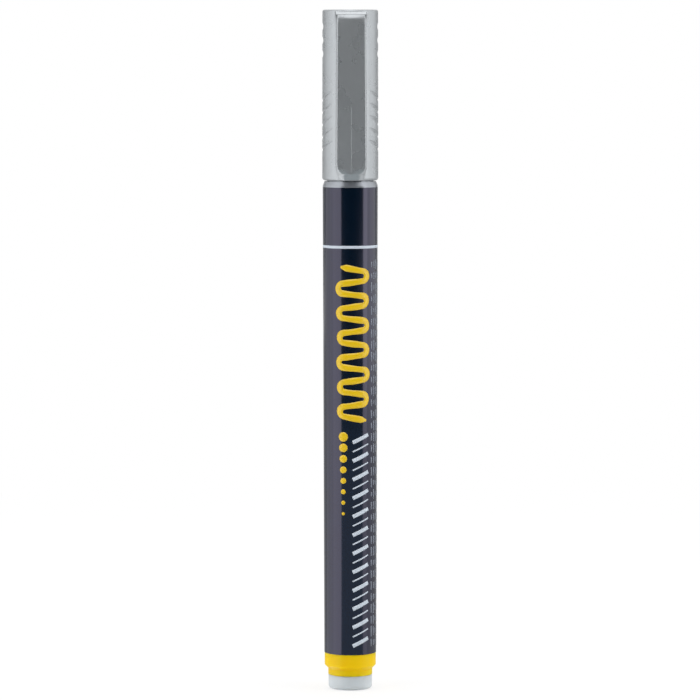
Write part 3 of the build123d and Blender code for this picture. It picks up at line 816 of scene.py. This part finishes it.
def dash_line_tree():
    """Lines of dashes of uneven length, side by side."""
    tree, sizes = new_tree(
        "dash_lines",
        (
            ("Lines", "NodeSocketInt"),
            ("Line pitch", "NodeSocketFloat"),
            ("Dashes", "NodeSocketInt"),
            ("Dash pitch", "NodeSocketFloat"),
            ("Dash width", "NodeSocketFloat"),
            ("Seed", "NodeSocketInt"),
        ),
    )
    across = add(tree, "ShaderNodeCombineXYZ", {"X": sizes["Line pitch"]})
    upward = add(tree, "ShaderNodeCombineXYZ", {"Y": sizes["Dash pitch"]})
    line = add(
        tree, "GeometryNodeMeshLine", {"Count": sizes["Dashes"], "Offset": upward.outputs[0]}
    )
    lines = add(
        tree, "GeometryNodeMeshLine", {"Count": sizes["Lines"], "Offset": across.outputs[0]}
    )
    block = add(
        tree,
        "GeometryNodeInstanceOnPoints",
        {"Points": lines.outputs["Mesh"], "Instance": line.outputs["Mesh"]},
    )
    points = add(tree, "GeometryNodeRealizeInstances", {"Geometry": block.outputs[0]})
    share = add(
        tree,
        "FunctionNodeRandomValue",
        {2: DASH_SHORTEST, 3: DASH_LONGEST, "Seed": sizes["Seed"]},
        data_type="FLOAT",
    )
    length = add(
        tree,
        "ShaderNodeMath",
        {0: share.outputs[1], 1: sizes["Dash pitch"]},
        operation="MULTIPLY",
    )
    size = add(
        tree, "ShaderNodeCombineXYZ", {"X": sizes["Dash width"], "Y": length.outputs[0], "Z": 1.0}
    )
    dash = add(
        tree,
        "GeometryNodeMeshGrid",
        {"Vertices X": 2, "Vertices Y": 2, "Size X": 1.0, "Size Y": 1.0},
    )
    dashes = add(
        tree,
        "GeometryNodeInstanceOnPoints",
        {"Points": points.outputs[0], "Instance": dash.outputs["Mesh"], "Scale": size.outputs[0]},
    )
    return end_tree(tree, sizes, dashes.outputs[0])


def coil_tree():
    """A coil of round wire."""
    tree, sizes = new_tree(
        "wire_coil",
        (
            ("Turns", "NodeSocketFloat"),
            ("Coil radius", "NodeSocketFloat"),
            ("Wire radius", "NodeSocketFloat"),
            ("Height", "NodeSocketFloat"),
        ),
    )
    coil = add(
        tree,
        "GeometryNodeCurveSpiral",
        {
            "Resolution": SPRING_TURN_STEPS,
            "Rotations": sizes["Turns"],
            "Start Radius": sizes["Coil radius"],
            "End Radius": sizes["Coil radius"],
            "Height": sizes["Height"],
        },
    )
    section = add(
        tree,
        "GeometryNodeCurvePrimitiveCircle",
        {"Resolution": SPRING_WIRE_SIDES, "Radius": sizes["Wire radius"]},
    )
    wire = add(
        tree,
        "GeometryNodeCurveToMesh",
        {"Curve": coil.outputs[0], "Profile Curve": section.outputs[0], "Fill Caps": True},
    )
    return end_tree(tree, sizes, wire.outputs[0])


def clip_half_width(z):
    """Half the arm's width at a height: a little wider downwards, then drawn in to the tip."""
    if z > FACE_ROUND_Z:
        share = (CLIP_LEDGE_Z - z) / (CLIP_LEDGE_Z - FACE_ROUND_Z)
        return CLIP_HALF_ROOT + (CLIP_HALF_END - CLIP_HALF_ROOT) * share
    share = (FACE_ROUND_Z - z) / (FACE_ROUND_Z - CLIP_END_Z)
    return CLIP_HALF_END - (CLIP_HALF_END - CLIP_HALF_TIP) * share**CLIP_TIP_CURVE


def brow_stations():
    """Stations of the arm's sloping top, close together where it curves most."""
    stations = []
    face_half = CLIP_HALF_ROOT - CLIP_SIDE_BEVEL
    for step in range(BROW_STEPS + 1):
        share = step / BROW_STEPS
        z = BROW_TOP_Z - (BROW_TOP_Z - BROW_LOW_Z) * share**2
        if z > BROW_KNEE_Z:
            set_back = (BROW_FADE + z - BROW_KNEE_Z) / BROW_SLOPE
        else:
            set_back = BROW_FADE / BROW_SLOPE * exp((z - BROW_KNEE_Z) / BROW_FADE)
        half, back_y = CLIP_HALF_ROOT, CLIP_BACK_Y
        if z > CLIP_LEDGE_Z:
            back_y = BROW_BACK_Y
            depth = back_y - CLIP_FRONT_Y - set_back
            half = face_half + CLIP_SIDE_BEVEL * depth / CLIP_BEVEL_DEPTH
        stations.append((z, half, face_half, set_back, share, back_y))
    return stations


def end_stations():
    """Stations of the face's rounded end and of the nose that slopes away below it."""
    stations = []
    full_face = CLIP_HALF_END - CLIP_SIDE_BEVEL
    for step in range(FACE_ROUND_STEPS + 1):
        turn = pi / 2 * step / FACE_ROUND_STEPS
        z = FACE_ROUND_Z - (FACE_ROUND_Z - NOSE_TOP_Z) * sin(turn)
        face_half = NOSE_HALF + (full_face - NOSE_HALF) * cos(turn)
        stations.append((z, clip_half_width(z), face_half, 0.0, 1.0, CLIP_BACK_Y))
    nose_end_z = CLIP_END_Z + CLIP_EASE
    for step in range(1, NOSE_STEPS + 1):
        share = step / NOSE_STEPS
        z = NOSE_TOP_Z - (NOSE_TOP_Z - nose_end_z) * share
        stations.append((z, clip_half_width(z), NOSE_HALF, NOSE_SET_BACK * share, 1.0, CLIP_BACK_Y))
    tip, nose_tip = CLIP_HALF_TIP - CLIP_EASE, NOSE_HALF - CLIP_EASE
    stations.append((CLIP_END_Z, tip, nose_tip, NOSE_SET_BACK + CLIP_EASE, 1.0, CLIP_BACK_Y))
    return stations


def clip_section(z, half, face_half, set_back, roof, back_y):
    """Outline of the arm at a station, with each corner but the face's middle eased by two points.

    half and face_half are half the width behind and at the face, set_back is how far the face
    lies behind the front, and roof is the share of its slope.
    """
    middle_y = CLIP_FRONT_Y + BEAD_HEIGHT + set_back
    edge_y = middle_y + roof * tan(radians(FACE_SLOPE)) * face_half
    shoulder = half, CLIP_FRONT_Y + CLIP_BEVEL_DEPTH + SHOULDER_SHARE * set_back
    if back_y < CLIP_BACK_Y:
        shoulder = (half + face_half) / 2, (edge_y + back_y) / 2
    ease = min(CLIP_EASE, BROW_EASE_SHARE * (back_y - edge_y))
    left = [Vector((-x, y, z)) for x, y in ((half, back_y), shoulder, (face_half, edge_y))]
    right = [Vector((-corner.x, corner.y, z)) for corner in reversed(left)]
    corners = left + [Vector((0, middle_y, z))] + right
    outline = []
    for i, corner in enumerate(corners):
        if i == len(left):
            outline.append(corner)
            continue
        for neighbour in (corners[i - 1], corners[(i + 1) % len(corners)]):
            outline.append(corner + (neighbour - corner).normalized() * ease)
    return outline


def add_face_bead(bm):
    """Fine bead down the middle of the face."""
    middle_y = CLIP_FRONT_Y + BEAD_HEIGHT
    section = [(BEAD_WIDTH * across, middle_y - BEAD_HEIGHT * rise) for across, rise in BEAD_SHAPE]
    closed_bar(bm, [[(x, y, z) for x, y in section] for z in (BEAD_LOW_Z, BEAD_TOP_Z)])


def add_root_bar(bm):
    """Round bar that the clip turns on, cut flat at the back of the brow."""
    front = acos((BROW_BACK_Y - CLIP_PIVOT_Y) / CLIP_BAR_RADIUS)
    turns = [front - 2 * front * i / CLIP_BAR_STEPS for i in range(CLIP_BAR_STEPS + 1)]
    section = [
        (CLIP_PIVOT_Y + CLIP_BAR_RADIUS * cos(turn), CLIP_PIVOT_Z + CLIP_BAR_RADIUS * sin(turn))
        for turn in turns
    ]
    closed_bar(bm, [[(x, y, z) for y, z in section] for x in (-CLIP_BAR_HALF, CLIP_BAR_HALF)])


def add_clip_foot(bm):
    """Half-round foot behind the arm's end, sunk a little into it."""
    turns = [pi * i / FOOT_STEPS for i in range(FOOT_STEPS + 1)]
    section = [(FOOT_RADIUS * sin(turn), -FOOT_RADIUS * cos(turn)) for turn in turns]
    section = [(-FOOT_SINK, -FOOT_RADIUS)] + section + [(-FOOT_SINK, FOOT_RADIUS)]
    section = [(CLIP_BACK_Y + y, FOOT_Z + z) for y, z in section]
    closed_bar(bm, [[(x, y, z) for y, z in section] for x in (-FOOT_HALF_WIDTH, FOOT_HALF_WIDTH)])


def clip_arm():
    """The clip's bevelled arm with its roof-shaped face, and its bead, root bar and foot."""
    bm = bmesh.new()
    stations = brow_stations() + end_stations()
    rings = closed_bar(bm, [clip_section(*station) for station in stations])
    middle = len(rings[0]) // 2
    ridge_verts = [ring[middle] for ring in rings]
    ridge = [bm.edges.get(pair) for pair in zip(ridge_verts, ridge_verts[1:])]
    add_face_bead(bm)
    add_root_bar(bm)
    add_clip_foot(bm)
    return finish_mesh(bm, "clip_arm", CLIP_SHARP, ridge)


def aimed(obj, place, target):
    """Puts a lamp or camera in place, pointing at a target."""
    obj.location = place
    obj.rotation_euler = (Vector(target) - Vector(place)).to_track_quat("-Z", "Y").to_euler()
    scene.collection.objects.link(obj)
    return obj


def white_paper():
    """Matt white paper that shows as the white background and keeps the object's shadow."""
    material, tree, place = start_material("white_paper_floor")
    rays = add(tree, "ShaderNodeLightPath").outputs
    bounced = add(
        tree,
        "ShaderNodeMath",
        {0: rays["Is Glossy Ray"], 1: rays["Is Transmission Ray"]},
        operation="MAXIMUM",
    )
    shown = add(
        tree,
        "ShaderNodeMath",
        {0: rays["Is Camera Ray"], 1: bounced.outputs[0]},
        operation="MAXIMUM",
    )
    reach = add(tree, "ShaderNodeVectorMath", {0: place}, operation="LENGTH")
    fade = add(
        tree,
        "ShaderNodeMapRange",
        {
            "Value": reach.outputs["Value"],
            "From Min": SHADOW_REACH,
            "From Max": SHADOW_FADE,
            "To Min": SHADOW_GLOW,
            "To Max": 1.0,
        },
        interpolation_type="SMOOTHSTEP",
    )
    share = add(
        tree,
        "ShaderNodeMath",
        {0: shown.outputs[0], 1: fade.outputs["Result"]},
        operation="MULTIPLY",
    )
    paper = add(tree, "ShaderNodeBsdfDiffuse", {"Color": PAPER_WHITE})
    glow = add(tree, "ShaderNodeEmission", {"Color": WHITE, "Strength": 1.0})
    mix = add(
        tree,
        "ShaderNodeMixShader",
        {0: share.outputs[0], 1: paper.outputs[0], 2: glow.outputs[0]},
    )
    add(tree, "ShaderNodeOutputMaterial", {"Surface": mix.outputs[0]})
    return material


def matt_card(name, colour):
    """Matt card that soaks up light."""
    material, tree, _ = start_material(name)
    card = add(tree, "ShaderNodeBsdfDiffuse", {"Color": colour})
    add(tree, "ShaderNodeOutputMaterial", {"Surface": card.outputs[0]})
    return material


def glowing_sheet(name, colour, strength):
    """Sheet that glows evenly."""
    material, tree, _ = start_material(name)
    glow = add(tree, "ShaderNodeEmission", {"Color": colour, "Strength": strength})
    add(tree, "ShaderNodeOutputMaterial", {"Surface": glow.outputs[0]})
    return material


def studio_sheet(name, corners, faces, material):
    """A sheet of the studio, which isn't part of the object."""
    mesh = bpy.data.meshes.new(name)
    mesh.from_pydata(corners, [], faces)
    mesh.materials.append(material)
    obj = bpy.data.objects.new(name, mesh)
    scene.collection.objects.link(obj)
    return obj


def level_corners(half, front_y, back_y, z):
    """Corners of a level sheet, in order round it."""
    return [(-half, front_y, z), (half, front_y, z), (half, back_y, z), (-half, back_y, z)]


def upright_card(name, left_x, right_x, y, colour):
    """An upright card that the camera doesn't see."""
    corners = [(left_x, y, 0), (right_x, y, 0), (right_x, y, CARD_HEIGHT), (left_x, y, CARD_HEIGHT)]
    card = studio_sheet(name, corners, [(0, 1, 2, 3)], matt_card(name, colour))
    card.visible_camera = False


def reflection_sheet(name, corners, faces, colour, strength):
    """A glowing sheet that shows in glossy surfaces only."""
    sheet = studio_sheet(name, corners, faces, glowing_sheet(name, colour, strength))
    sheet.visible_camera = False
    sheet.visible_diffuse = False
    sheet.visible_shadow = False


def floor_reflection(name, start, stop, near, far, colour, strength):
    """Part of the floor between two angles round from the clip, as glossy surfaces see it."""
    turns = [start + (stop - start) * i / REFLECTION_STEPS for i in range(REFLECTION_STEPS + 1)]
    corners = [
        round_from_clip(turn, reach, REFLECTION_Z) for turn in turns for reach in (near, far)
    ]
    faces = [(2 * i, 2 * i + 1, 2 * i + 3, 2 * i + 2) for i in range(REFLECTION_STEPS)]
    reflection_sheet(name, corners, faces, colour, strength)


def soft_light(name, width, height, strength, place, target):
    """Soft light that looks this strong, and that the camera doesn't see."""
    lamp = bpy.data.lights.new(name, "AREA")
    lamp.shape = "RECTANGLE"
    lamp.size = width
    lamp.size_y = height
    lamp.energy = strength * pi * lamp.size * lamp.size_y
    aimed(bpy.data.objects.new(name, lamp), place, target).visible_camera = False


def side_light(name, inner, outer, strength):
    """Tall soft light between two angles round from the clip, as the marker sees it."""
    width = 2 * SIDE_DISTANCE * tan(radians(abs(outer - inner) / 2))
    place = round_from_clip((inner + outer) / 2, SIDE_DISTANCE, SIDE_MIDDLE_Z)
    soft_light(name, width, SIDE_HEIGHT, strength, place, (0, 0, SIDE_MIDDLE_Z))


# Camera: long lens from the front, level with the top of the cap, a touch to the left
camera_data = bpy.data.cameras.new("camera")
camera_data.lens = CAMERA_LENS
camera_data.sensor_width = SENSOR_WIDTH
camera_place = round_from_clip(CAMERA_TURN, CAMERA_DISTANCE, CAMERA_HEIGHT)
scene.camera = aimed(bpy.data.objects.new("camera", camera_data), camera_place, CAMERA_AIM)

# Materials
silver = silver_polypropylene(
    "silver_flake_polypropylene", hex_values=("#969a9d", "#a1a5a8"), roughness=(0.24, 0.32)
)
# The front section's silver is a darker copy of the cap's: the darkening is painted shade on the
# collar under the cap's mouth, and its lower roughness gives it more gloss.
shaded_silver = silver_polypropylene(
    "dark_silver_flake_polypropylene", hex_values=("#888c92", "#92969c"), roughness=(0.2, 0.28)
)
film = printed_film()
valve_plastic = natural_polypropylene_valve()
spring_wire = drawn_spring_wire()
ball_steel = polished_ball_steel()
yellow_ink = screen_ink("yellow_screen_ink", "#d6b000", "#e0bb00")
white_ink = screen_ink("white_screen_ink", "#b9c3cf", "#c5ced8")
grey_ink = screen_ink("grey_screen_ink", "#717885", "#7e8592")
for node_name, finish in (
    ("cap_shell", silver),
    ("pocket_clip", silver),
    # The front section's darker silver is painted shade.
    ("front_section", shaded_silver),
    ("label_sleeve", film),
    ("barrel", yellow_polypropylene()),
    ("tail_plug", natural_polyethylene_plug()),
    ("inner_cap", soft_polyethylene_liner()),
    ("nib", fibre_nib()),
    ("ink_buffer", fibre_wadding()),
    ("valve_body", valve_plastic),
    ("spring_cage", valve_plastic),
    ("valve_seat", moulded_elastomer()),
    ("valve_stem", natural_acetal()),
    ("valve_spring", spring_wire),
    ("mixing_ball_left", ball_steel),
    ("mixing_ball_right", ball_steel),
):
    nodes[node_name].data.materials.clear()
    nodes[node_name].data.materials.append(finish)

# Sleeve and its print
place_piece("film_sleeve", wrapped_film(), "barrel", film, ["label_sleeve"])
bar_print = print_from(
    slanted_bar_tree(),
    {
        "Bars": BARS,
        "Pitch": BAR_PITCH * MM,
        "Length": BAR_LENGTH * MM,
        "Thick": BAR_THICK * MM,
        "Thin": BAR_THIN * MM,
        "Slant": radians(BAR_SLANT),
        "Material": white_ink,
    },
    "slanted_bar_print",
    BAR_MIDDLE,
    BAR_LOW_Z,
)
dot_print = print_from(
    dot_row_tree(),
    {
        "Dots": DOTS,
        "Pitch": -DOT_PITCH * MM,
        "Largest": DOT_RADIUS * MM,
        "Shrink": DOT_SHRINK * MM,
        "Material": yellow_ink,
    },
    "shrinking_dot_print",
    DOT_MIDDLE,
    DOT_TOP_Z,
)
dash_print = print_from(
    dash_line_tree(),
    {
        "Lines": DASH_LINES,
        "Line pitch": DASH_LINE_PITCH * MM,
        "Dashes": DASHES,
        "Dash pitch": DASH_PITCH * MM,
        "Dash width": DASH_WIDTH * MM,
        "Seed": DASH_SEED,
        "Material": grey_ink,
    },
    "dash_line_print",
    DASH_START,
    DASH_LOW_Z,
)
for print_mesh, ink in (
    (printed_ring(), white_ink),
    (chalk_scribble(), yellow_ink),
    (bar_print, white_ink),
    (dot_print, yellow_ink),
    (dash_print, grey_ink),
):
    thicken_ink(place_piece(print_mesh.name, print_mesh, "barrel", ink))

# Clip
clip = place_piece("clip_arm", clip_arm(), "clip", silver, ["pocket_clip"])
flat_faces = clip.modifiers.new("flat_faces", "WEIGHTED_NORMAL")
flat_faces.keep_sharp = True

# Valve spring
spring_length = SPRING_HEAD_Z - SPRING_FLOOR_Z
end_room = SPRING_WIRE_RADIUS + SPRING_END_GAP
coil_mesh = grown_mesh(
    coil_tree(),
    {
        "Turns": float(SPRING_TURNS),
        "Coil radius": SPRING_COIL_RADIUS * MM,
        "Wire radius": SPRING_WIRE_RADIUS * MM,
        "Height": (spring_length - 2 * end_room) * MM,
        "Material": spring_wire,
    },
)
coil_mesh.transform(Matrix.Translation((0, 0, (SPRING_FLOOR_Z + end_room) * MM)))
coil = place_piece("wire_coil", coil_mesh, "barrel", spring_wire, ["valve_spring"])
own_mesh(coil)

# White studio: even white surroundings, a white floor, dark cards in front and behind
world = bpy.data.worlds.new("white_studio")
scene.world = world
world.use_nodes = True
world.node_tree.nodes["Background"].inputs["Color"].default_value = WHITE
world.node_tree.nodes["Background"].inputs["Strength"].default_value = 1.0
floor_corners = level_corners(FLOOR_HALF, -FLOOR_HALF, FLOOR_HALF, FLOOR_Z)
studio_sheet("paper_floor", floor_corners, [(0, 1, 2, 3)], white_paper())
card_left = CARD_DISTANCE * tan(radians(DARK_LEFT))
card_right = CARD_DISTANCE * tan(radians(DARK_RIGHT))
upright_card("camera_card", card_left, card_right, -CARD_DISTANCE, CARD_DARK)
rear_half = CARD_DISTANCE * tan(radians(180 - DARK_REAR))
rear_grey = (REAR_LEVEL, REAR_LEVEL, REAR_LEVEL, 1.0)
upright_card("rear_card", -rear_half, rear_half, CARD_DISTANCE, rear_grey)

# Side lights, and painted reflections of the floor under them, in front and behind
for side, inner, steps, floor_share in (
    ("left", DARK_LEFT, LEFT_STEPS, 1.0),
    ("right", DARK_RIGHT, RIGHT_STEPS, RIGHT_FLOOR_SHARE),
):
    start = inner
    for number, (outer, strength) in enumerate(steps, 1):
        side_light(f"{side}_soft_light_{number}", inner, outer, strength)
        level = floor_share * (1.0 + sum(more for _, more in steps[number - 1 :]))
        name = f"{side}_floor_reflection_{number}"
        floor_reflection(name, start, outer, FLOOR_START, SIDE_FLOOR_REACH, WHITE, level)
        start = outer
for name, near, far, tint in (
    ("near_front_reflection", FLOOR_START, NEAR_FLOOR_REACH, NEAR_FLOOR_TINT),
    ("far_front_reflection", NEAR_FLOOR_REACH, FAR_FLOOR_REACH, FAR_FLOOR_TINT),
    ("dark_front_reflection", FAR_FLOOR_REACH, CARD_FLOOR_REACH, CARD_DARK),
):
    floor_reflection(name, DARK_LEFT, DARK_RIGHT, near, far, tint, 1.0)
floor_reflection(
    "rear_floor_reflection",
    DARK_REAR,
    360 - DARK_REAR,
    FLOOR_START,
    CARD_FLOOR_REACH,
    WHITE,
    REAR_LEVEL,
)

# Overhead soft light, a little behind, which the sloping top of the clip's block throws forwards
soft_light(
    "overhead_soft_light",
    OVERHEAD_SIZE,
    OVERHEAD_SIZE,
    OVERHEAD_STRENGTH,
    OVERHEAD_PLACE,
    OVERHEAD_AIM,
)

# White ceiling in front of that light, which the rounded top of the clip throws to the camera
ceiling_z = OVERHEAD_PLACE[2]
reflection_sheet(
    "front_ceiling_reflection",
    level_corners(CEILING_HALF, -CEILING_REACH, CEILING_BACK, ceiling_z),
    [(0, 1, 2, 3)],
    WHITE,
    CEILING_STRENGTH,
)
